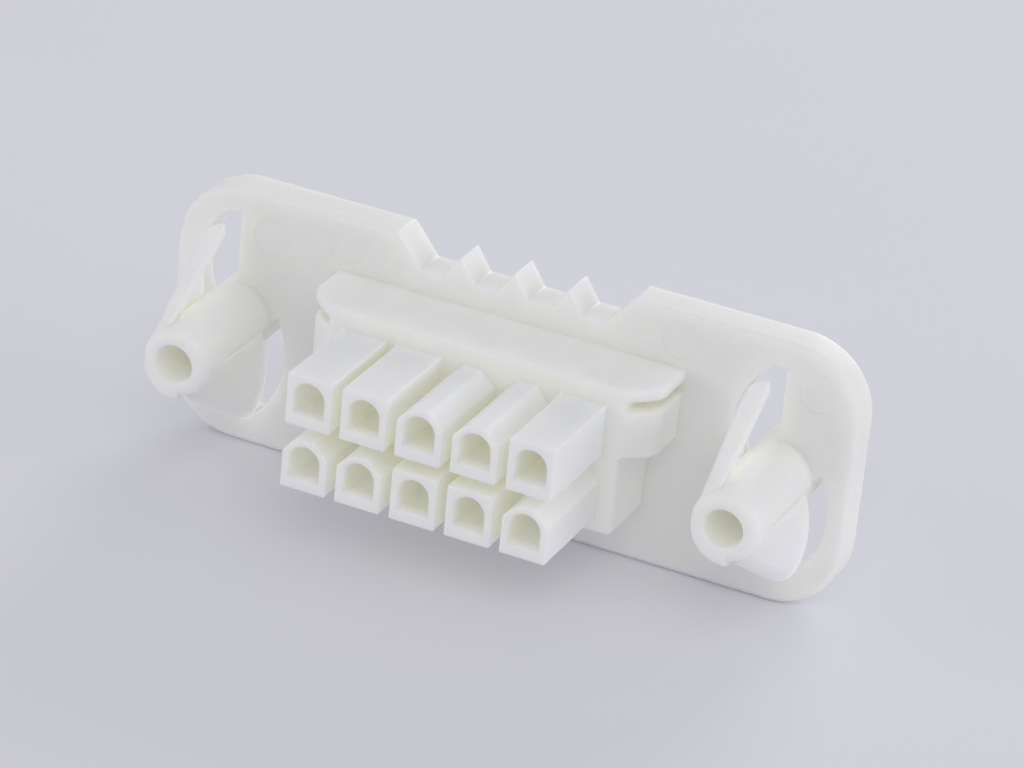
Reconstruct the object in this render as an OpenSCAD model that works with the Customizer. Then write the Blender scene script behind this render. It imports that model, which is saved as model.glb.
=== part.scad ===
// Panel mounted socket header: a one piece nylon housing with two rows of socket tubes.
// The tubes face -Y, the rows run along X and +Z is up.
// The origin is the middle of the flange's front face, half way between the two rows.

/* [Socket grid] */
// Number of socket columns
columns = 5; // [2:1:12]
// Distance between columns
col_pitch = 4.2; // [3:0.05:6]
// Distance between the two rows
row_pitch = 4.85; // [4:0.05:7]

/* [Socket tubes] */
// Width of one tube
tube_w = 3.45; // [2.6:0.05:4]
// Height of one tube
tube_h = 3.9; // [3:0.05:4.6]
// Length of the tubes in front of the block
tube_len = 8.3; // [4:0.1:14]
// Corner cut on the two top corners of a keyed tube
key_cut = 1.1; // [0.4:0.05:1.4]
// Wall of a tube round its chamber
tube_wall = 0.45; // [0.3:0.05:0.8]
// Thickness of the lip at the tube's mouth
lip_t = 1; // [0.5:0.1:2]
// Width of the mouth
mouth_w = 2.35; // [1.5:0.05:2.6]
// Height of the mouth
mouth_h = 2.5; // [1.5:0.05:3]
// Height of the mouth's centre above the tube's centre
mouth_up = 0.2; // [0:0.05:0.4]

/* [Block] */
// Margin of the block beside the outer tubes
side_margin = 1.2; // [0.6:0.05:3]
// Margin of the block under the lower tubes
under_margin = 1.15; // [0.6:0.05:3]
// Margin of the block over the upper tubes
over_margin = 1.45; // [0.8:0.05:3]
// Depth of the block in front of the flange
block_d = 5.5; // [3:0.1:9]
// Length of the rear body behind the flange
rear_len = 4.2; // [1:0.1:10]
// Wall between neighbouring contact chambers at the rear
web = 0.9; // [0.6:0.05:1.2]
// Wall of the rear body round the outer chambers
rear_wall = 0.55; // [0.4:0.05:1.2]
// Depth of the wide part of a chamber in front of the flange
wide_d = 4; // [1:0.1:5]

/* [Shelf and ears] */
// Thickness of the top shelf
shelf_t = 1.05; // [0.8:0.05:2]
// Gap between the shelf and the ears
ear_gap = 0.75; // [0.4:0.05:1.5]
// Height of an ear
ear_h = 3.6; // [2:0.1:5]
// Reach of the shelf beyond the block
shelf_reach = 2.14; // [1:0.02:3]
// Reach of the ears beyond the block
ear_reach = 2.02; // [1:0.02:3]
// Angle of the slanted lead in of the shelf and the ears
lead_angle = 42; // [30:1:60]
// Corner radius behind the lead in
lead_r = 1.6; // [0.4:0.1:2]

/* [Flange] */
// Thickness of the flange
flange_t = 3.05; // [1.5:0.05:5]
// Height of the flange
flange_h = 19.9; // [16:0.1:26]
// Corner radius of the flange
corner_r = 5.3; // [2:0.1:8]

/* [Toothed edge] */
// Depth of the lowered stretch of the top edge
dip = 2.45; // [1:0.05:3]
// Height of a tooth
tooth_h = 1.75; // [0.5:0.05:2.4]
// Width of a tooth at its foot
tooth_w = 2.4; // [1:0.1:3.6]
// Distance from the outer teeth to the end of the dip's floor
dip_end = 2.95; // [2:0.05:4]
// Run of the slope at each end of the dip
dip_run = 2; // [0.5:0.1:4]

/* [Snap posts] */
// Distance from the outer column to a post
post_out = 12.65; // [9:0.05:20]
// Radius of a post
post_r = 2.6; // [2:0.05:3.5]
// Reach of a post in front of the flange
post_len = 9.65; // [6:0.05:14]
// Rounding of the post's nose
nose_r = 0.8; // [0.3:0.05:0.9]
// Drop of the lip under the nose
lip_drop = 0.42; // [0.1:0.02:0.6]
// Side end of the lip, measured from the post's middle plane
lip_end = 0.35; // [0:0.05:0.8]
// Radius of the blind hole in the nose
hole_r = 1.42; // [0.8:0.02:1.6]
// Depth of the blind hole
hole_d = 8; // [3:0.1:9]
// Distance from the nose to the root of the fingers
root_d = 1.2; // [0.6:0.05:3]
// Panel thickness held between a finger's end and the flange
panel_t = 1.3; // [0.8:0.05:3]
// Rise of a finger from its root to its end
finger_rise = 4.4; // [1:0.1:5]
// Sideways spread of a finger from its root to its end
finger_out = 0.45; // [0:0.05:1]
// Wall of a finger
finger_t = 0.85; // [0.5:0.05:1.2]
// Distance of a finger's cut edge from the post's middle plane
finger_cut = 0.88; // [0.3:0.02:1.5]
// Radius of a finger beyond the post's radius
finger_over = 0.05; // [0.02:0.01:0.2]
// Radius of the bowed side of a finger
bow_r = 6.2; // [4:0.1:10]
// Height of the bow's middle under the finger's axis
bow_drop = 1.2; // [0.5:0.1:2]
// Bulge of the bowed side beyond the finger's radius
bow = 0.08; // [0.02:0.01:0.1]

/* [Windows behind the fingers] */
// Radius of the bowed side of a window
window_r = 7; // [5:0.1:10]
// Reach of the bowed side from the post's axis
window_out = 3.87; // [3.4:0.01:4.4]
// Height of the bow's middle over the post's axis
window_mid = 2.5; // [1.5:0.1:3.5]
// Height of the window's top over the post's axis
window_top = 8; // [7.6:0.05:8.6]
// Distance of the window's straight side from the post's middle plane
window_cut = 0.32; // [0.1:0.02:0.8]
// Height where the slanted lower end meets the post's middle plane
window_low = 2.5; // [2:0.05:2.6]

/* [Ejector marks] */
// Radius of an ejector mark
mark_r = 1.45; // [0.5:0.05:2]
// Depth of an ejector mark
mark_d = 0.03; // [0.02:0.01:0.2]
// Distance from the outer column to the inner marks
mark_in = 4.5; // [3:0.1:8]
// Distance from a post's middle plane to the outer marks
mark_side = 2.25; // [1.8:0.05:3.5]
// Distance from the flange's top edge to the outer marks
mark_down = 3.2; // [2:0.1:5]

/* [Hidden] */
$fn = 64;
eps = 0.01;

outer_col = (columns - 1) * col_pitch / 2;
block_hw = outer_col + tube_w / 2 + side_margin;
block_lo = -row_pitch / 2 - tube_h / 2 - under_margin;
block_hi = row_pitch / 2 + tube_h / 2 + over_margin;
tube_front = -block_d - tube_len;
rear_y = flange_t + rear_len;
ear_hi = block_hi - shelf_t - ear_gap;
post_x = outer_col + post_out;
flange_hw = post_x + corner_r;
flange_top = flange_h / 2;
teeth = max(1, columns - 2);
dip_hw = (teeth - 1) * col_pitch / 2 + dip_end;
dip_z = flange_top - dip;
chamber_w = tube_w - 2 * tube_wall;
chamber_h = tube_h - 2 * tube_wall;
wide_w = col_pitch - web;
wide_h = row_pitch - web;
rear_hw = outer_col + wide_w / 2 + rear_wall;
rear_hh = row_pitch / 2 + wide_h / 2 + rear_wall;
chamber_cut = (chamber_w + chamber_h) / 2 - (tube_w + tube_h) / 2 + key_cut + tube_wall * sqrt(2);
finger_run = post_len - root_d - panel_t;
finger_tilt = atan(finger_rise / finger_run);
finger_yaw = atan(finger_out / finger_run);
finger_r = post_r + finger_over;
finger_low = post_r - window_low;
finger_lap = 0.4;
far = 20;
past = 1;

// Keyed tubes run in pairs along a row, and the two rows are opposite
function keyed(c, r) = (floor(c / 2) + r) % 2 == 1;

// Draw a flat X Z outline from depth y0 to depth y1
module slab(y0, y1) {
    translate([0, y1, 0])
        rotate([90, 0, 0])
            linear_extrude(y1 - y0)
                children();
}

// Cut two top corners off a rectangle
module keyed_outline(w, h, cut) {
    polygon([
        [-w / 2, -h / 2], [w / 2, -h / 2],
        [w / 2, h / 2 - cut], [w / 2 - cut, h / 2],
        [-w / 2 + cut, h / 2], [-w / 2, h / 2 - cut]
    ]);
}

module tube_outline(w, h, key, cut) {
    if (key)
        keyed_outline(w, h, cut);
    else
        square([w, h], center = true);
}

// Flat bottom and arched top
module mouth_outline() {
    translate([-mouth_w / 2, mouth_up - mouth_h / 2])
        square([mouth_w, mouth_h - mouth_w / 2]);
    translate([0, mouth_up + mouth_h / 2 - mouth_w / 2])
        circle(d = mouth_w);
}

module tubes() {
    for (c = [0 : columns - 1])
        for (r = [0 : 1])
            translate([c * col_pitch - outer_col, 0, (r == 0 ? 1 : -1) * row_pitch / 2])
                slab(tube_front, -block_d + eps)
                    tube_outline(tube_w, tube_h, keyed(c, r), key_cut);
}

// One contact chamber, open at the mouth and at the rear
module chamber(key) {
    slab(tube_front - past, tube_front + lip_t + eps)
        mouth_outline();
    slab(tube_front + lip_t, -wide_d + eps)
        tube_outline(chamber_w, chamber_h, key, chamber_cut);
    slab(-wide_d, rear_y + past)
        square([wide_w, wide_h], center = true);
}

module chambers() {
    for (c = [0 : columns - 1])
        for (r = [0 : 1])
            translate([c * col_pitch - outer_col, 0, (r == 0 ? 1 : -1) * row_pitch / 2])
                chamber(keyed(c, r));
}

// Half of a plan outline with a slanted lead in that rounds into a straight side
module lead_plan(reach) {
    x1 = block_hw + reach;
    corner_y = -block_d + reach * tan(lead_angle);
    t = lead_r * tan((90 - lead_angle) / 2);
    polygon([
        [0, -block_d], [block_hw, -block_d],
        [x1 - t * cos(lead_angle), corner_y - t * sin(lead_angle)],
        [x1, corner_y + t], [x1, eps], [0, eps]
    ]);
    translate([x1 - lead_r, corner_y + t])
        circle(r = lead_r);
}

// Plate from height z0 with lead ins at both ends
module lead_plate(z0, h, reach) {
    translate([0, 0, z0])
        linear_extrude(h)
            lead_plan(reach);
    mirror([1, 0, 0])
        translate([0, 0, z0])
            linear_extrude(h)
                lead_plan(reach);
}

module block() {
    translate([-block_hw, -block_d, block_lo])
        cube([2 * block_hw, block_d + eps, block_hi - block_lo]);
    lead_plate(block_hi - shelf_t, shelf_t, shelf_reach);
    lead_plate(ear_hi - ear_h, ear_h, ear_reach);
    translate([-rear_hw, flange_t - eps, -rear_hh])
        cube([2 * rear_hw, rear_len + eps, 2 * rear_hh]);
}

// Rounded plate with the lowered and toothed stretch in its top edge
module flange_outline() {
    difference() {
        union() {
            square([2 * post_x, flange_h], center = true);
            square([2 * flange_hw, flange_h - 2 * corner_r], center = true);
            for (sx = [-1, 1])
                for (sz = [-1, 1])
                    translate([sx * post_x, sz * (flange_top - corner_r)])
                        circle(r = corner_r);
        }
        polygon([
            [-dip_hw, dip_z], [dip_hw, dip_z],
            [dip_hw + dip_run, flange_top], [dip_hw + dip_run, flange_top + past],
            [-dip_hw - dip_run, flange_top + past], [-dip_hw - dip_run, flange_top]
        ]);
    }
    for (i = [0 : teeth - 1])
        translate([(i - (teeth - 1) / 2) * col_pitch, dip_z])
            polygon([[-tooth_w / 2, -eps], [tooth_w / 2, -eps], [0, tooth_h]]);
}

module flange() {
    slab(0, flange_t)
        flange_outline();
}

// Outline of the window behind the upper left finger, seen from the front
module window_outline() {
    intersection() {
        translate([window_r - window_out, window_mid])
            circle(r = window_r);
        polygon([
            [-window_cut, window_top], [-far, window_top],
            [-far, window_low - far], [-window_cut, window_low - window_cut]
        ]);
    }
}

// Section of a finger, drawn upside down: half round top, bowed side, set in by a wall
module finger_shape(inset, right) {
    intersection() {
        translate([bow_r - finger_r - bow, bow_drop])
            circle(r = bow_r - inset);
        union() {
            circle(r = finger_r - inset);
            translate([-far, 0])
                square([far + right, far]);
        }
    }
}

// Spread finger on the upper left of a post
module finger() {
    intersection() {
        translate([0, -post_len + root_d, 0])
            rotate([0, 0, finger_yaw])
                rotate([finger_tilt - 90, 0, 0])
                    translate([0, 0, -far / 2])
                        linear_extrude(2 * far)
                            difference() {
                                finger_shape(0, 0);
                                finger_shape(finger_t, finger_r);
                            }
        translate([-far, -post_len + root_d - finger_lap, -finger_low])
            cube([far - finger_cut, finger_run + finger_lap, far]);
    }
}

// Rounded nose of a post with a straight stretch behind it
module nose(len) {
    rotate([90, 0, 0])
        rotate_extrude() {
            translate([0, post_len - len])
                square([post_r, len - nose_r]);
            translate([0, post_len - len])
                square([post_r - nose_r, len]);
            translate([post_r - nose_r, post_len - nose_r])
                circle(r = nose_r);
        }
}

module post_solid() {
    nose(post_len + flange_t);
    intersection() {
        translate([0, 0, -lip_drop])
            nose(root_d);
        translate([-far, -far, -far])
            cube([far + lip_end, far, far]);
    }
    for (a = [0, 180])
        rotate([0, a, 0])
            finger();
}

module post_hole() {
    translate([0, -post_len + hole_d, 0])
        rotate([90, 0, 0])
            cylinder(r = hole_r, h = hole_d + past);
}

module post_windows() {
    for (a = [0, 180])
        rotate([0, a, 0])
            slab(-eps, flange_t + past)
                difference() {
                    window_outline();
                    circle(r = post_r);
                }
}

module marks() {
    for (s = [-1, 1]) {
        translate([s * (outer_col + mark_in), mark_d, (flange_top + block_hi) / 2])
            rotate([90, 0, 0])
                cylinder(r = mark_r, h = past);
        translate([s * post_x + mark_side, mark_d, flange_top - mark_down])
            rotate([90, 0, 0])
                cylinder(r = mark_r, h = past);
    }
}

module housing() {
    color([0.92, 0.92, 0.88])
        difference() {
            union() {
                tubes();
                block();
                difference() {
                    flange();
                    marks();
                    for (s = [-1, 1])
                        translate([s * post_x, 0, 0])
                            post_windows();
                }
                for (s = [-1, 1])
                    translate([s * post_x, 0, 0])
                        post_solid();
            }
            chambers();
            for (s = [-1, 1])
                translate([s * post_x, 0, 0])
                    post_hole();
        }
}

housing();
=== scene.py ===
"""Panel mounted socket header: finishes the moulded nylon housing and sets up its studio."""

import math

import bmesh
import bpy
from mathutils import Euler, Matrix, Vector
from mathutils.geometry import delaunay_2d_cdt
from mathutils.kdtree import KDTree


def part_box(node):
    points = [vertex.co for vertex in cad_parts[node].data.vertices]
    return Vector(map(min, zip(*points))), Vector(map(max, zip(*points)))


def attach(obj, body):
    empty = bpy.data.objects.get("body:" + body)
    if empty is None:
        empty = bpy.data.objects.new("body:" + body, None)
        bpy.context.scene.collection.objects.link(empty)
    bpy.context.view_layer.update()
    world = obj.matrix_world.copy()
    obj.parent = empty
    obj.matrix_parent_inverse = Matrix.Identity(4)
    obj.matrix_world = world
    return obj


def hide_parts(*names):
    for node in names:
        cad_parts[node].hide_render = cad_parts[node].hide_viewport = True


bl_info = {
    "name": "Socket Header",
    "version": (1, 0, 0),
    "blender": (4, 5, 0),
    "location": "View3D > Sidebar > Socket Header",
    "description": "Rounds, colours and lights the moulded housing of a panel mounted socket header",
    "category": "Object",
}

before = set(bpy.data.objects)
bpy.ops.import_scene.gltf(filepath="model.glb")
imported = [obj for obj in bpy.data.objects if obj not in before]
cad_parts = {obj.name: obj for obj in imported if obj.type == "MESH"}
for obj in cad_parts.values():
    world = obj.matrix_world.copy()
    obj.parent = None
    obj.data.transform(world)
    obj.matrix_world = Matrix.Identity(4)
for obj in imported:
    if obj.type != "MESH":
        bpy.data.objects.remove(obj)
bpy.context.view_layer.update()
LOW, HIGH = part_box("housing")

MM = 0.001
MOULDING = "moulded_housing"

# How far a point may lie off a size, off a flat, or off the point that it is welded to
SLACK = 0.03 * MM
FLAT_SLACK = 0.0015 * MM
WELD = 0.002 * MM

# Faces of one flat agree at least this well in direction, as a cosine
SAME_FLAT = 0.99999

# Two edges of a flat face each other, or run on in line, past this cosine
FACING = 0.8

# Spacing of the points along an edge that look for the edge across a flat, and how far they look
PROBE = 0.3 * MM
PROBE_REACH = 4 * PROBE

# Share of a flat's width for two roundings, and of a short edge for the one at its corner
FLAT_SHARE = 0.9
CORNER_SHARE = 0.4

# Output type of the triangulation, and the distance in millimetres that it takes as none
ONLY_INSIDE = 1
SAME_POINT = 1e-7

# How much a large face outweighs a small one in the shading, in the modifier's own scale
FLAT_WEIGHT = 80


# Settings


class SocketHeaderSizes(bpy.types.PropertyGroup):
    """Places on the moulding that decide how round an edge is"""

    columns: bpy.props.IntProperty(
        name="Columns", description="Number of socket columns", default=5, min=1
    )
    column_pitch: bpy.props.FloatProperty(
        name="Column pitch", description="Distance between socket columns",
        default=4.2 * MM, unit="LENGTH", precision=5,
    )
    row_pitch: bpy.props.FloatProperty(
        name="Row pitch", description="Distance between the two rows",
        default=4.85 * MM, unit="LENGTH", precision=5,
    )
    tube_chamber: bpy.props.FloatVectorProperty(
        name="Chamber in a tube", description="Width and height of the chamber inside a tube",
        default=(2.55 * MM, 3.0 * MM), size=2, unit="LENGTH", precision=5,
    )
    rear_chamber: bpy.props.FloatVectorProperty(
        name="Rear chamber", description="Width and height of the chamber behind the tubes",
        default=(3.3 * MM, 3.95 * MM), size=2, unit="LENGTH", precision=5,
    )
    block_depth: bpy.props.FloatProperty(
        name="Block depth", description="Depth of the block in front of the flange",
        default=5.5 * MM, unit="LENGTH", precision=5,
    )
    block_reach: bpy.props.FloatProperty(
        name="Block reach", description="Half the width of the block with its shelf and ears",
        default=13.5 * MM, unit="LENGTH", precision=5,
    )
    flange_depth: bpy.props.FloatProperty(
        name="Flange depth", description="Thickness of the flange",
        default=3.05 * MM, unit="LENGTH", precision=5,
    )
    flange_corner: bpy.props.FloatProperty(
        name="Flange corner", description="Corner radius of the flange",
        default=5.3 * MM, unit="LENGTH", precision=5,
    )
    dip: bpy.props.FloatProperty(
        name="Dip", description="Depth of the lowered stretch of the top edge",
        default=2.45 * MM, unit="LENGTH", precision=5,
    )
    dip_reach: bpy.props.FloatProperty(
        name="Dip reach", description="Half the width of the lowered stretch of the top edge",
        default=9.15 * MM, unit="LENGTH", precision=5,
    )
    post_place: bpy.props.FloatProperty(
        name="Post place", description="Distance from the middle of the flange to a post",
        default=21.05 * MM, unit="LENGTH", precision=5,
    )
    post_hole: bpy.props.FloatProperty(
        name="Post hole", description="Radius of the blind hole in a post's nose",
        default=1.42 * MM, unit="LENGTH", precision=5,
    )
    finger_reach: bpy.props.FloatProperty(
        name="Finger reach", description="Half the width of the space that a post's fingers stay in",
        default=4.4 * MM, unit="LENGTH", precision=5,
    )


class SocketHeaderRounding(bpy.types.PropertyGroup):
    """Roundings that the mould leaves on the edges"""

    edge: bpy.props.FloatProperty(
        name="Edges", description="Rounding of the tubes, the windows and all inner corners",
        default=0.14 * MM, unit="LENGTH", precision=5,
    )
    body: bpy.props.FloatProperty(
        name="Block", description="Rounding of the outer edges of the block, shelf and ears",
        default=0.34 * MM, unit="LENGTH", precision=5,
    )
    rim: bpy.props.FloatProperty(
        name="Rim", description="Rounding of the flange's outer edge",
        default=0.5 * MM, unit="LENGTH", precision=5,
    )
    crease: bpy.props.FloatProperty(
        name="Crease", description="Edges that bend less than this stay as they are",
        default=math.radians(24), subtype="ANGLE",
    )
    blunt: bpy.props.FloatProperty(
        name="Blunt corner", description="Inner corners of the posts that turn less are shaded soft",
        default=math.radians(110), subtype="ANGLE",
    )
    steps: bpy.props.IntProperty(
        name="Steps", description="Facets across a rounding", default=3, min=1
    )


class SocketHeaderMarks(bpy.types.PropertyGroup):
    """Witness rings that the ejector pins leave on the flange"""

    radius: bpy.props.FloatProperty(
        name="Radius", description="Radius of a witness ring",
        default=1.45 * MM, unit="LENGTH", precision=5,
    )
    bead: bpy.props.FloatProperty(
        name="Bead", description="Radius of the bead that a witness ring is made of",
        default=0.005 * MM, unit="LENGTH", precision=6,
    )
    inner: bpy.props.FloatVectorProperty(
        name="Inner marks", description="Sideways place and height of the marks beside the block",
        default=(12.9 * MM, 7.8875 * MM), size=2, unit="LENGTH", precision=5,
    )
    outer: bpy.props.FloatVectorProperty(
        name="Outer marks", description="Shift from the post and height of the marks by the posts",
        default=(2.25 * MM, 6.75 * MM), size=2, unit="LENGTH", precision=5,
    )
    ring_steps: bpy.props.IntProperty(
        name="Ring steps", description="Straight pieces round a witness ring", default=72, min=8
    )
    bead_steps: bpy.props.IntProperty(
        name="Bead steps", description="Facets round the bead", default=8, min=3
    )


class SocketHeaderNylon(bpy.types.PropertyGroup):
    """Finish of the milky natural nylon"""

    milk: bpy.props.FloatVectorProperty(
        name="Milk", description="Colour of a thin wall", subtype="COLOR",
        default=(1.0, 1.0, 0.978), min=0, max=1,
    )
    cloud: bpy.props.FloatVectorProperty(
        name="Cloud", description="Colour of the faint clouds in a thin wall", subtype="COLOR",
        default=(0.997, 0.997, 0.972), min=0, max=1,
    )
    # Painted shade: the thick colour greys thick walls, where less light comes through the nylon
    thick: bpy.props.FloatVectorProperty(
        name="Thick", description="Greyer colour of a thick wall", subtype="COLOR",
        default=(0.885, 0.885, 0.862), min=0, max=1,
    )
    thick_wall: bpy.props.FloatProperty(
        name="Thick wall", description="Wall that shows the thick colour in full",
        default=3.5 * MM, unit="LENGTH", precision=5,
    )
    # Painted shade: the walls of gaps and sockets are tinted warmer and a little darker, standing in
    # for light shut in between them
    gap_shade_tint: bpy.props.FloatVectorProperty(
        name="Amber", description="Tint of the walls of gaps and sockets", subtype="COLOR",
        default=(1.0, 0.998, 0.94), min=0, max=1,
    )
    # Reach of that painted gap shade
    gap: bpy.props.FloatProperty(
        name="Gap", description="How far the other wall of a gap may lie to tint this one",
        default=1.7 * MM, unit="LENGTH", precision=5,
    )
    roughness: bpy.props.FloatProperty(
        name="Roughness", description="Mean roughness of the moulded skin", default=0.52,
        subtype="FACTOR", min=0, max=1,
    )
    flow: bpy.props.FloatProperty(
        name="Flow", description="How far the roughness strays where the nylon flowed", default=0.08,
        subtype="FACTOR", min=0, max=1,
    )
    grain: bpy.props.FloatProperty(
        name="Grain", description="Height of the fine grain of the skin",
        default=0.02 * MM, unit="LENGTH", precision=6,
    )
    grain_strength: bpy.props.FloatProperty(
        name="Grain strength", description="How strongly the grain shows", default=0.12,
        subtype="FACTOR", min=0, max=1,
    )
    scatter: bpy.props.FloatProperty(
        name="Scatter", description="How far light travels inside the nylon",
        default=1.2 * MM, unit="LENGTH", precision=5,
    )
    scatter_share: bpy.props.FloatVectorProperty(
        name="Scatter share", description="Share of that way for red, green and blue light",
        default=(1.0, 0.92, 0.66), min=0, max=1,
    )
    ior: bpy.props.FloatProperty(
        name="IOR", description="Refractive index of nylon", default=1.53, min=1
    )


class SocketHeaderStudio(bpy.types.PropertyGroup):
    """Floor, lamps and camera"""

    floor: bpy.props.FloatVectorProperty(
        name="Floor", description="Colour of the floor", subtype="COLOR",
        default=(0.825, 0.822, 0.865), min=0, max=1,
    )
    fibre: bpy.props.FloatProperty(
        name="Fibre", description="Brightness of the floor's fibre beside the floor", default=0.98,
        subtype="FACTOR", min=0, max=1,
    )
    floor_reach: bpy.props.FloatProperty(
        name="Floor reach", description="Half the side of the square floor", default=1.5,
        unit="LENGTH",
    )
    tent: bpy.props.FloatVectorProperty(
        name="Tent", description="Colour of the light from all round", subtype="COLOR",
        default=(0.935, 0.94, 1.0), min=0, max=1,
    )
    warm: bpy.props.FloatVectorProperty(
        name="Warm lamps", description="Colour of the lamps in front", subtype="COLOR",
        default=(1.0, 0.99, 0.93), min=0, max=1,
    )
    cool: bpy.props.FloatVectorProperty(
        name="Cool lamps", description="Colour of the lamps on the right and behind", subtype="COLOR",
        default=(0.97, 0.98, 1.0), min=0, max=1,
    )
    tent_power: bpy.props.FloatProperty(
        name="Tent strength", description="Strength of the light from all round", default=0.575
    )
    lamp_distance: bpy.props.FloatProperty(
        name="Lamp distance", description="How far each lamp stands from the part",
        default=1.2, unit="LENGTH",
    )
    lamp_size: bpy.props.FloatProperty(
        name="Lamp size", description="Diameter of the round face of a lamp",
        default=0.7, unit="LENGTH",
    )
    right_power: bpy.props.FloatProperty(
        name="Right lamp", description="Power of the low lamp on the right", default=2.5,
        unit="POWER",
    )
    back_power: bpy.props.FloatProperty(
        name="Back lamp", description="Power of the low lamp behind the flange", default=4.6,
        unit="POWER",
    )
    left_power: bpy.props.FloatProperty(
        name="Left lamp", description="Power of the low lamp on the left in front", default=1.8,
        unit="POWER",
    )
    front_power: bpy.props.FloatProperty(
        name="Front lamp", description="Power of the high lamp in front on the right", default=1.6,
        unit="POWER",
    )
    bounces: bpy.props.IntProperty(
        name="Bounces", description="How often light is thrown on inside the sockets", default=48,
        min=1,
    )
    camera_place: bpy.props.FloatVectorProperty(
        name="Camera place", description="Where the camera stands",
        default=(0.118627, -0.280378, 0.152733), subtype="TRANSLATION", unit="LENGTH",
    )
    camera_turn: bpy.props.FloatVectorProperty(
        name="Camera turn", description="How the camera is turned",
        default=(1.1058594, -0.0893760, 0.4429926), subtype="EULER",
    )
    lens: bpy.props.FloatProperty(
        name="Lens", description="Focal length in millimetres on a 36 mm wide sensor",
        default=170.557,
    )


# Rounding of the moulding


def middle(edge):
    """The point half way along an edge."""
    return (edge.verts[0].co + edge.verts[1].co) / 2


def in_chamber(edge, sizes):
    """True for an edge of a wall that faces into a contact chamber, where no rounding shows."""
    x, y, z = middle(edge)
    if y < LOW.y + SLACK or y > HIGH.y - SLACK:
        return False
    wide = sizes.rear_chamber if y > SLACK - sizes.block_depth else sizes.tube_chamber
    outer = (sizes.columns - 1) * sizes.column_pitch / 2
    column = round((x + outer) / sizes.column_pitch)
    column = min(max(column, 0), sizes.columns - 1)
    across = column * sizes.column_pitch - outer - x
    up = math.copysign(sizes.row_pitch / 2, z) - z
    if abs(across) > wide[0] / 2 + SLACK or abs(up) > wide[1] / 2 + SLACK:
        return False
    return any(face.normal.dot((across, 0, up)) > SLACK for face in edge.link_faces)


def on_rim(edge, sizes):
    """True for an edge on the outline of the flange's front or back, apart from the dip."""
    x, y, z = middle(edge)
    if min(abs(y), abs(y - sizes.flange_depth)) > SLACK:
        return False
    if abs(x) < sizes.dip_reach + SLACK and z > HIGH.z - sizes.dip - SLACK:
        return False
    corner = sizes.flange_corner
    over_x, over_z = abs(x) - HIGH.x + corner, abs(z) - HIGH.z + corner
    reach = math.hypot(max(over_x, 0), max(over_z, 0)) + min(max(over_x, over_z), 0)
    return reach > corner - 2 * SLACK


def on_finger(edge, sizes):
    """True for an edge of a post in front of the flange, apart from the hole in its nose."""
    x, y, z = middle(edge)
    across = abs(x) - sizes.post_place
    if y > -SLACK or abs(across) > sizes.finger_reach:
        return False
    return math.hypot(across, z) > sizes.post_hole + SLACK


def wanted_radius(edge, sizes, rounding):
    """Rounding of an edge by the part of the moulding that it lies on."""
    if in_chamber(edge, sizes) or on_finger(edge, sizes):
        return 0
    if on_rim(edge, sizes):
        return rounding.rim
    x, y, _ = middle(edge)
    on_block = abs(x) < sizes.block_reach and -sizes.block_depth - SLACK < y < -SLACK
    outer = edge.calc_face_angle_signed() > 0
    return rounding.body if on_block and outer else rounding.edge


def find_flats(mesh):
    """Number the flat regions of the mesh on its faces, and list the faces of each."""
    number = mesh.faces.layers.int.new("flat")
    flats = []
    for face in mesh.faces:
        face[number] = -1
    for seed in mesh.faces:
        if seed[number] >= 0:
            continue
        seed[number] = len(flats)
        region, queue = [], [seed]
        while queue:
            face = queue.pop()
            region.append(face)
            for edge in face.edges:
                for other in edge.link_faces:
                    if other[number] < 0 and other.normal.dot(seed.normal) > SAME_FLAT:
                        other[number] = len(flats)
                        queue.append(other)
        flats.append(region)
    return flats


def fit_to_flat(flat, radii):
    """Make the roundings on the two sides of a flat small enough for its width."""
    points = []
    for face in flat:
        for loop in face.loops:
            if loop.edge not in radii:
                continue
            start, end = loop.vert.co, loop.link_loop_next.vert.co
            inward = face.normal.cross(end - start).normalized()
            count = max(2, math.ceil((end - start).length / PROBE))
            points += [
                (start.lerp(end, (i + 0.5) / count), inward, loop.edge) for i in range(count)
            ]
    tree = KDTree(len(points))
    for i, (place, _, _) in enumerate(points):
        tree.insert(place, i)
    tree.balance()
    for place, inward, edge in points:
        for there, j, near in tree.find_range(place, PROBE_REACH):
            _, facing, other = points[j]
            way = there - place
            if inward.dot(way) < FACING * near or facing.dot(way) > -FACING * near:
                continue
            if set(edge.verts) & set(other.verts):
                continue
            if radii[edge] + radii[other] > FLAT_SHARE * near:
                radii[edge] = min(radii[edge], FLAT_SHARE / 2 * near)
                radii[other] = min(radii[other], FLAT_SHARE / 2 * near)


def fit_to_corners(mesh, radii):
    """Make the roundings that meet at a corner small enough for its shortest edge."""
    for vert in mesh.verts:
        edges = [e for e in vert.link_edges if e in radii]
        if len(edges) < 2:
            continue
        ways = [(e.other_vert(vert).co - vert.co).normalized() for e in edges]
        if len(edges) == 2 and ways[0].dot(ways[1]) < -FACING:
            continue
        room = CORNER_SHARE * min(e.calc_length() for e in edges)
        for edge in edges:
            radii[edge] = min(radii[edge], room)


def inside(point, ends):
    """True if a point lies in the area that the straight border pieces enclose."""
    odd = False
    for a, b in ends:
        if (a.y > point.y) != (b.y > point.y):
            if point.x < a.x + (point.y - a.y) * (b.x - a.x) / (b.y - a.y):
                odd = not odd
    return odd


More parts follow.
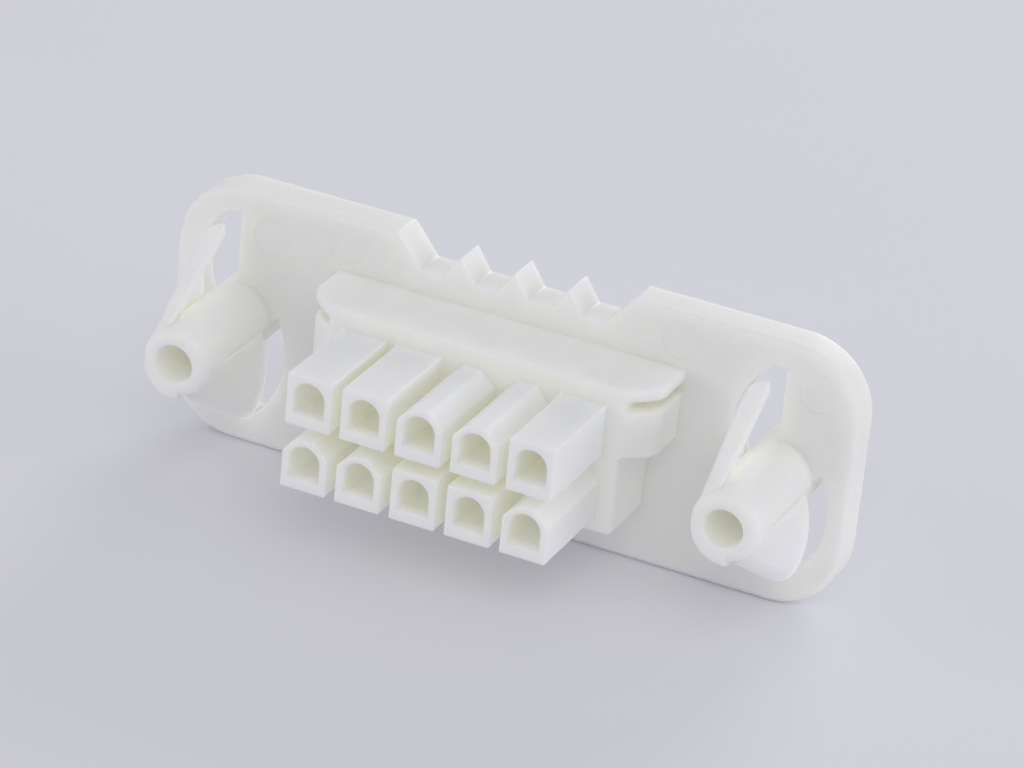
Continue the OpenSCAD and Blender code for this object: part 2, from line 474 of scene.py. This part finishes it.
def refill_flats(mesh, planes):
    """Fill each flat between its rounded edges with clean triangles."""
    number = mesh.faces.layers.int["flat"]
    regions = {}
    for face in mesh.faces:
        origin, normal = planes[face[number]]
        if all(abs(normal.dot(v.co - origin)) < FLAT_SLACK for v in face.verts):
            regions.setdefault(face[number], []).append(face)
    old, new = [], []
    for index, region in regions.items():
        # A lone triangle or quad is clean already
        if len(region) == 1 and len(region[0].verts) < 5:
            continue
        origin, normal = planes[index]
        side = normal.orthogonal().normalized()
        up = normal.cross(side)
        within = set(region)
        border = [
            e for face in region for e in face.edges
            if sum(f in within for f in e.link_faces) == 1
        ]
        verts = list(dict.fromkeys(v for e in border for v in e.verts))
        order = {v: i for i, v in enumerate(verts)}
        flat = [Vector((side.dot(v.co - origin), up.dot(v.co - origin))) / MM for v in verts]
        pairs = [(order[e.verts[0]], order[e.verts[1]]) for e in border]
        ends = [(flat[a], flat[b]) for a, b in pairs]
        places, _, corners, sources, _, _ = delaunay_2d_cdt(
            flat, pairs, [], ONLY_INSIDE, SAME_POINT
        )
        found = [
            verts[s[0]] if s else mesh.verts.new(origin + (side * p.x + up * p.y) * MM)
            for p, s in zip(places, sources)
        ]
        old += region
        for corner in corners:
            ring = [found[c] for c in corner]
            centre = sum((places[c] for c in corner), Vector((0, 0))) / 3
            if len(set(ring)) == 3 and inside(centre, ends):
                new.append((ring, index))
    bmesh.ops.delete(mesh, geom=old, context="FACES_ONLY")
    for ring, index in new:
        if mesh.faces.get(ring) is None:
            face = mesh.faces.new(ring)
            face[number] = index
            face.smooth = True
    bmesh.ops.delete(mesh, geom=[e for e in mesh.edges if not e.link_faces], context="EDGES")


def rounded_mesh(node, sizes, rounding):
    """A welded copy of the node's mesh with the mould's rounding on its edges."""
    mesh = bmesh.new()
    mesh.from_mesh(node.data)
    bmesh.ops.remove_doubles(mesh, verts=mesh.verts[:], dist=WELD)
    weight = mesh.edges.layers.float.new("bevel_weight_edge")
    flats = find_flats(mesh)
    planes = [(flat[0].verts[0].co.copy(), flat[0].normal.copy()) for flat in flats]
    radii = {
        e: wanted_radius(e, sizes, rounding)
        for e in mesh.edges if e.calc_face_angle() > rounding.crease
    }
    for flat in flats:
        fit_to_flat(flat, radii)
    fit_to_corners(mesh, radii)
    # A weight of 1 stands for the rim's rounding, the largest
    for edge, radius in radii.items():
        edge[weight] = radius / rounding.rim
        blunt = -rounding.blunt < edge.calc_face_angle_signed() < 0
        edge.smooth = radius > 0 or blunt and on_finger(edge, sizes)
    for face in mesh.faces:
        face.smooth = True
    sharp = bpy.data.meshes.new("sharp_housing")
    mesh.to_mesh(sharp)
    mesh.free()

    holder = bpy.data.objects.new("sharp_housing", sharp)
    bpy.context.scene.collection.objects.link(holder)
    bevel = holder.modifiers.new("Mould rounding", "BEVEL")
    bevel.limit_method = "WEIGHT"
    bevel.width = rounding.rim
    bevel.segments = rounding.steps
    bevel.use_clamp_overlap = False
    bevel.loop_slide = False
    rounded = plain_mesh(holder)
    bpy.data.objects.remove(holder)
    bpy.data.meshes.remove(sharp)

    mesh = bmesh.new()
    mesh.from_mesh(rounded)
    refill_flats(mesh, planes)
    mesh.to_mesh(rounded)
    mesh.free()
    return rounded


def plain_mesh(holder):
    """The holder's mesh with its modifiers applied."""
    graph = bpy.context.evaluated_depsgraph_get()
    mesh = bpy.data.meshes.new_from_object(holder.evaluated_get(graph))
    if not mesh.polygons:
        raise RuntimeError(f"{holder.name} has no faces")
    return mesh


# Witness rings


def witness_rings(marks, post_place, material):
    """Node tree that sets a fine ring round each ejector mark, and the values of its inputs."""
    tree = bpy.data.node_groups.new("Witness rings", "GeometryNodeTree")
    interface = tree.interface
    interface.new_socket("Geometry", in_out="INPUT", socket_type="NodeSocketGeometry")
    values = {}
    for name, value in (
        ("Ring radius", marks.radius),
        ("Bead", marks.bead),
        ("Inner place", marks.inner[0]),
        ("Inner height", marks.inner[1]),
        ("Outer shift", marks.outer[0]),
        ("Outer height", marks.outer[1]),
        ("Post place", post_place),
    ):
        socket = interface.new_socket(name, in_out="INPUT", socket_type="NodeSocketFloat")
        socket.subtype = "DISTANCE"
        values[socket.identifier] = value
    for name, value in (("Ring steps", marks.ring_steps), ("Bead steps", marks.bead_steps)):
        socket = interface.new_socket(name, in_out="INPUT", socket_type="NodeSocketInt")
        values[socket.identifier] = value
    finish = interface.new_socket("Finish", in_out="INPUT", socket_type="NodeSocketMaterial")
    values[finish.identifier] = material
    interface.new_socket("Geometry", in_out="OUTPUT", socket_type="NodeSocketGeometry")

    nodes, links = tree.nodes, tree.links
    given = nodes.new("NodeGroupInput").outputs

    def maths(kind, a, b):
        """One operation on two values, each a number or a socket."""
        node = nodes.new("ShaderNodeMath")
        node.operation = kind
        for socket, value in zip(node.inputs, (a, b)):
            if isinstance(value, (int, float)):
                socket.default_value = value
            else:
                links.new(value, socket)
        return node.outputs["Value"]

    def pair(start_x, step_x, height):
        """Two points beside each other at one height."""
        start = nodes.new("ShaderNodeCombineXYZ")
        links.new(start_x, start.inputs["X"])
        links.new(height, start.inputs["Z"])
        step = nodes.new("ShaderNodeCombineXYZ")
        links.new(step_x, step.inputs["X"])
        line = nodes.new("GeometryNodeMeshLine")
        line.inputs["Count"].default_value = 2
        links.new(start.outputs["Vector"], line.inputs["Start Location"])
        links.new(step.outputs["Vector"], line.inputs["Offset"])
        return line.outputs["Mesh"]

    def circle(radius, steps):
        """A circle that lies flat."""
        node = nodes.new("GeometryNodeCurvePrimitiveCircle")
        links.new(given[steps], node.inputs["Resolution"])
        links.new(given[radius], node.inputs["Radius"])
        return node.outputs["Curve"]

    inner = pair(
        maths("MULTIPLY", given["Inner place"], -1),
        maths("MULTIPLY", given["Inner place"], 2),
        given["Inner height"],
    )
    outer = pair(
        maths("SUBTRACT", given["Outer shift"], given["Post place"]),
        maths("MULTIPLY", given["Post place"], 2),
        given["Outer height"],
    )
    places = nodes.new("GeometryNodeJoinGeometry")
    links.new(inner, places.inputs["Geometry"])
    links.new(outer, places.inputs["Geometry"])

    upright = nodes.new("GeometryNodeTransform")
    upright.inputs["Rotation"].default_value = (math.radians(90), 0, 0)
    links.new(circle("Ring radius", "Ring steps"), upright.inputs["Geometry"])
    ring = nodes.new("GeometryNodeCurveToMesh")
    links.new(upright.outputs["Geometry"], ring.inputs["Curve"])
    links.new(circle("Bead", "Bead steps"), ring.inputs["Profile Curve"])
    smooth = nodes.new("GeometryNodeSetShadeSmooth")
    links.new(ring.outputs["Mesh"], smooth.inputs["Geometry"])
    rings = nodes.new("GeometryNodeInstanceOnPoints")
    links.new(places.outputs["Geometry"], rings.inputs["Points"])
    links.new(smooth.outputs["Geometry"], rings.inputs["Instance"])

    both = nodes.new("GeometryNodeJoinGeometry")
    links.new(rings.outputs["Instances"], both.inputs["Geometry"])
    links.new(given["Geometry"], both.inputs["Geometry"])
    real = nodes.new("GeometryNodeRealizeInstances")
    links.new(both.outputs["Geometry"], real.inputs["Geometry"])
    painted = nodes.new("GeometryNodeSetMaterial")
    links.new(real.outputs["Geometry"], painted.inputs["Geometry"])
    links.new(given["Finish"], painted.inputs["Material"])
    result = nodes.new("NodeGroupOutput")
    links.new(painted.outputs["Geometry"], result.inputs["Geometry"])
    return tree, values


# Materials


def nylon_material(nylon):
    """Milky natural nylon: cloudy, with painted warm shade in its gaps and painted grey shade on its
    thick walls, and a faint moulded skin.
    """
    material = bpy.data.materials.new("natural_nylon")
    material.use_nodes = True
    nodes, links = material.node_tree.nodes, material.node_tree.links
    shader = nodes["Principled BSDF"]
    place = nodes.new("ShaderNodeTexCoord")
    mm = nodes.new("ShaderNodeMapping")
    mm.inputs["Scale"].default_value = (1 / MM, 1 / MM, 1 / MM)
    links.new(place.outputs["Object"], mm.inputs["Vector"])

    def noise(**settings):
        """Noise over the moulding by its node's inputs, with the scale per millimetre."""
        node = nodes.new("ShaderNodeTexNoise")
        for name, value in settings.items():
            node.inputs[name].default_value = value
        links.new(mm.outputs["Vector"], node.inputs["Vector"])
        return node.outputs["Fac"]

    def openness(reach, start, end, samples, inside=False):
        """Rises from 0 to 1 as the space within reach goes from start to end in openness."""
        space = nodes.new("ShaderNodeAmbientOcclusion")
        space.samples = samples
        space.only_local = True
        space.inside = inside
        space.inputs["Distance"].default_value = reach
        limits = nodes.new("ShaderNodeMapRange")
        limits.inputs["From Min"].default_value = start
        limits.inputs["From Max"].default_value = end
        links.new(space.outputs["AO"], limits.inputs["Value"])
        return limits.outputs["Result"]

    def tinted(colour, factor, tint, blend="MIX"):
        """The colour, given as values or as a socket, with a tint laid over it by a factor."""
        mix = nodes.new("ShaderNodeMix")
        mix.data_type = "RGBA"
        mix.blend_type = blend
        mix.inputs["B"].default_value = (*tint, 1)
        links.new(factor, mix.inputs["Factor"])
        if isinstance(colour, bpy.types.NodeSocket):
            links.new(colour, mix.inputs["A"])
        else:
            mix.inputs["A"].default_value = (*colour, 1)
        return mix.outputs["Result"]

    tone = tinted(nylon.milk, noise(Scale=0.16, Detail=3), nylon.cloud)
    # Painted shade: thick walls are painted greyer and yellower, standing in for the light that thin
    # walls let through. Few rays are enough here, because the render's own samples even them out
    wall = openness(nylon.thick_wall, start=0, end=0.5, samples=2, inside=True)
    tone = tinted(tone, wall, nylon.thick)
    # Painted shade: walls that face another wall within the gap reach are multiplied by the warm gap
    # tint
    gaps = openness(nylon.gap, start=0.9, end=0.1, samples=3)
    tone = tinted(tone, gaps, nylon.gap_shade_tint, blend="MULTIPLY")
    links.new(tone, shader.inputs["Base Color"])

    sheen = nodes.new("ShaderNodeMapRange")
    sheen.inputs["To Min"].default_value = nylon.roughness - nylon.flow
    sheen.inputs["To Max"].default_value = nylon.roughness + nylon.flow
    links.new(noise(Scale=0.5, Detail=4, Distortion=0.6), sheen.inputs["Value"])
    links.new(sheen.outputs["Result"], shader.inputs["Roughness"])

    bump = nodes.new("ShaderNodeBump")
    bump.inputs["Strength"].default_value = nylon.grain_strength
    bump.inputs["Distance"].default_value = nylon.grain
    links.new(noise(Scale=6, Detail=4), bump.inputs["Height"])
    links.new(bump.outputs["Normal"], shader.inputs["Normal"])

    shader.inputs["IOR"].default_value = nylon.ior
    shader.inputs["Subsurface Weight"].default_value = 1
    shader.inputs["Subsurface Radius"].default_value = nylon.scatter_share
    shader.inputs["Subsurface Scale"].default_value = nylon.scatter
    return material


def floor_material(studio):
    """Pale paper with a hardly visible fibre."""
    material = bpy.data.materials.new("pale_floor")
    material.use_nodes = True
    nodes, links = material.node_tree.nodes, material.node_tree.links
    shader = nodes["Principled BSDF"]
    place = nodes.new("ShaderNodeTexCoord")
    fibre = nodes.new("ShaderNodeTexNoise")
    fibre.inputs["Scale"].default_value = 30
    fibre.inputs["Detail"].default_value = 5
    links.new(place.outputs["Object"], fibre.inputs["Vector"])
    paper = nodes.new("ShaderNodeMix")
    paper.data_type = "RGBA"
    paper.inputs["A"].default_value = (*studio.floor, 1)
    paper.inputs["B"].default_value = (*(studio.fibre * c for c in studio.floor), 1)
    links.new(fibre.outputs["Fac"], paper.inputs["Factor"])
    links.new(paper.outputs["Result"], shader.inputs["Base Color"])
    shader.inputs["Roughness"].default_value = 0.85
    shader.inputs["Specular IOR Level"].default_value = 0.2
    return material


# Operators


class SOCKETHEADER_OT_housing(bpy.types.Operator):
    """Make the moulded housing with its rounded edges, witness rings and nylon"""

    bl_idname = "socket_header.housing"
    bl_label = "Make Housing"

    def execute(self, context):
        scene = context.scene
        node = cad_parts["housing"]
        rounded = rounded_mesh(node, scene.socket_header_sizes, scene.socket_header_rounding)
        material = nylon_material(scene.socket_header_nylon)
        holder = bpy.data.objects.new("rounded_housing", rounded)
        scene.collection.objects.link(holder)
        tree, values = witness_rings(
            scene.socket_header_marks, scene.socket_header_sizes.post_place, material
        )
        rings = holder.modifiers.new("Witness rings", "NODES")
        rings.node_group = tree
        for identifier, value in values.items():
            rings[identifier] = value
        flats = holder.modifiers.new("Even flats", "WEIGHTED_NORMAL")
        flats.keep_sharp = True
        flats.weight = FLAT_WEIGHT
        data = plain_mesh(holder)
        bpy.data.objects.remove(holder)
        bpy.data.meshes.remove(rounded)
        data.name = MOULDING
        housing = bpy.data.objects.new(MOULDING, data)
        scene.collection.objects.link(housing)
        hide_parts("housing")
        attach(housing, "root")
        return {"FINISHED"}


class SOCKETHEADER_OT_studio(bpy.types.Operator):
    """Set up the pale floor, the soft light and the camera"""

    bl_idname = "socket_header.studio"
    bl_label = "Make Studio"

    def execute(self, context):
        scene = context.scene
        studio = scene.socket_header_studio
        scene.view_settings.view_transform = "Standard"
        scene.cycles.max_bounces = scene.cycles.diffuse_bounces = studio.bounces

        ground = bmesh.new()
        bmesh.ops.create_grid(ground, x_segments=1, y_segments=1, size=studio.floor_reach)
        data = bpy.data.meshes.new("floor")
        ground.to_mesh(data)
        ground.free()
        data.transform(Matrix.Translation((0, 0, LOW.z)))
        data.materials.append(floor_material(studio))
        floor = bpy.data.objects.new("floor", data)
        scene.collection.objects.link(floor)

        world = bpy.data.worlds.new("light_tent")
        world.use_nodes = True
        tent = world.node_tree.nodes["Background"]
        tent.inputs["Color"].default_value = (*studio.tent, 1)
        tent.inputs["Strength"].default_value = studio.tent_power
        scene.world = world

        def lamp(name, power, colour, turn, height):
            """A round lamp that faces the part, placed by its angles from +X and above the floor."""
            light = bpy.data.lights.new(name, "AREA")
            light.shape = "DISK"
            light.size = studio.lamp_size
            light.energy = power
            light.color = colour
            holder = bpy.data.objects.new(name, light)
            angles = Euler((0, -math.radians(height), math.radians(turn)))
            way = angles.to_matrix() @ Vector((1, 0, 0))
            holder.location = studio.lamp_distance * way
            holder.rotation_euler = (-way).to_track_quat("-Z", "Y").to_euler()
            scene.collection.objects.link(holder)

        lamp("right_lamp", studio.right_power, studio.cool, turn=0, height=15)
        lamp("back_lamp", studio.back_power, studio.cool, turn=90, height=15)
        lamp("left_lamp", studio.left_power, studio.warm, turn=215, height=15)
        lamp("front_lamp", studio.front_power, studio.warm, turn=300, height=48)

        lens = bpy.data.cameras.new("camera")
        lens.sensor_fit = "HORIZONTAL"
        lens.sensor_width = 36
        lens.lens = studio.lens
        lens.clip_start = 0.01
        camera = bpy.data.objects.new("camera", lens)
        camera.location = studio.camera_place
        camera.rotation_euler = Euler(studio.camera_turn)
        scene.collection.objects.link(camera)
        scene.camera = camera
        return {"FINISHED"}


class SOCKETHEADER_PT_panel(bpy.types.Panel):
    """Settings and makers of the socket header"""

    bl_idname = "SOCKETHEADER_PT_panel"
    bl_label = "Socket Header"
    bl_space_type = "VIEW_3D"
    bl_region_type = "UI"
    bl_category = "Socket Header"

    def draw(self, context):
        for name, (title, _) in SETTINGS.items():
            group = getattr(context.scene, name)
            box = self.layout.box()
            box.label(text=title)
            for setting in group.__annotations__:
                box.prop(group, setting)
        self.layout.operator(SOCKETHEADER_OT_housing.bl_idname)
        self.layout.operator(SOCKETHEADER_OT_studio.bl_idname)


SETTINGS = {
    "socket_header_sizes": ("Sizes", SocketHeaderSizes),
    "socket_header_rounding": ("Rounding", SocketHeaderRounding),
    "socket_header_marks": ("Ejector marks", SocketHeaderMarks),
    "socket_header_nylon": ("Nylon", SocketHeaderNylon),
    "socket_header_studio": ("Studio", SocketHeaderStudio),
}

CLASSES = (
    *(group for _, group in SETTINGS.values()),
    SOCKETHEADER_OT_housing,
    SOCKETHEADER_OT_studio,
    SOCKETHEADER_PT_panel,
)


def register():
    for cls in CLASSES:
        bpy.utils.register_class(cls)
    for name, (_, group) in SETTINGS.items():
        setattr(bpy.types.Scene, name, bpy.props.PointerProperty(type=group))


def unregister():
    for name in SETTINGS:
        delattr(bpy.types.Scene, name)
    for cls in reversed(CLASSES):
        bpy.utils.unregister_class(cls)


def main():
    register()
    bpy.ops.socket_header.housing()
    bpy.ops.socket_header.studio()


if __name__ == "__main__":
    main()
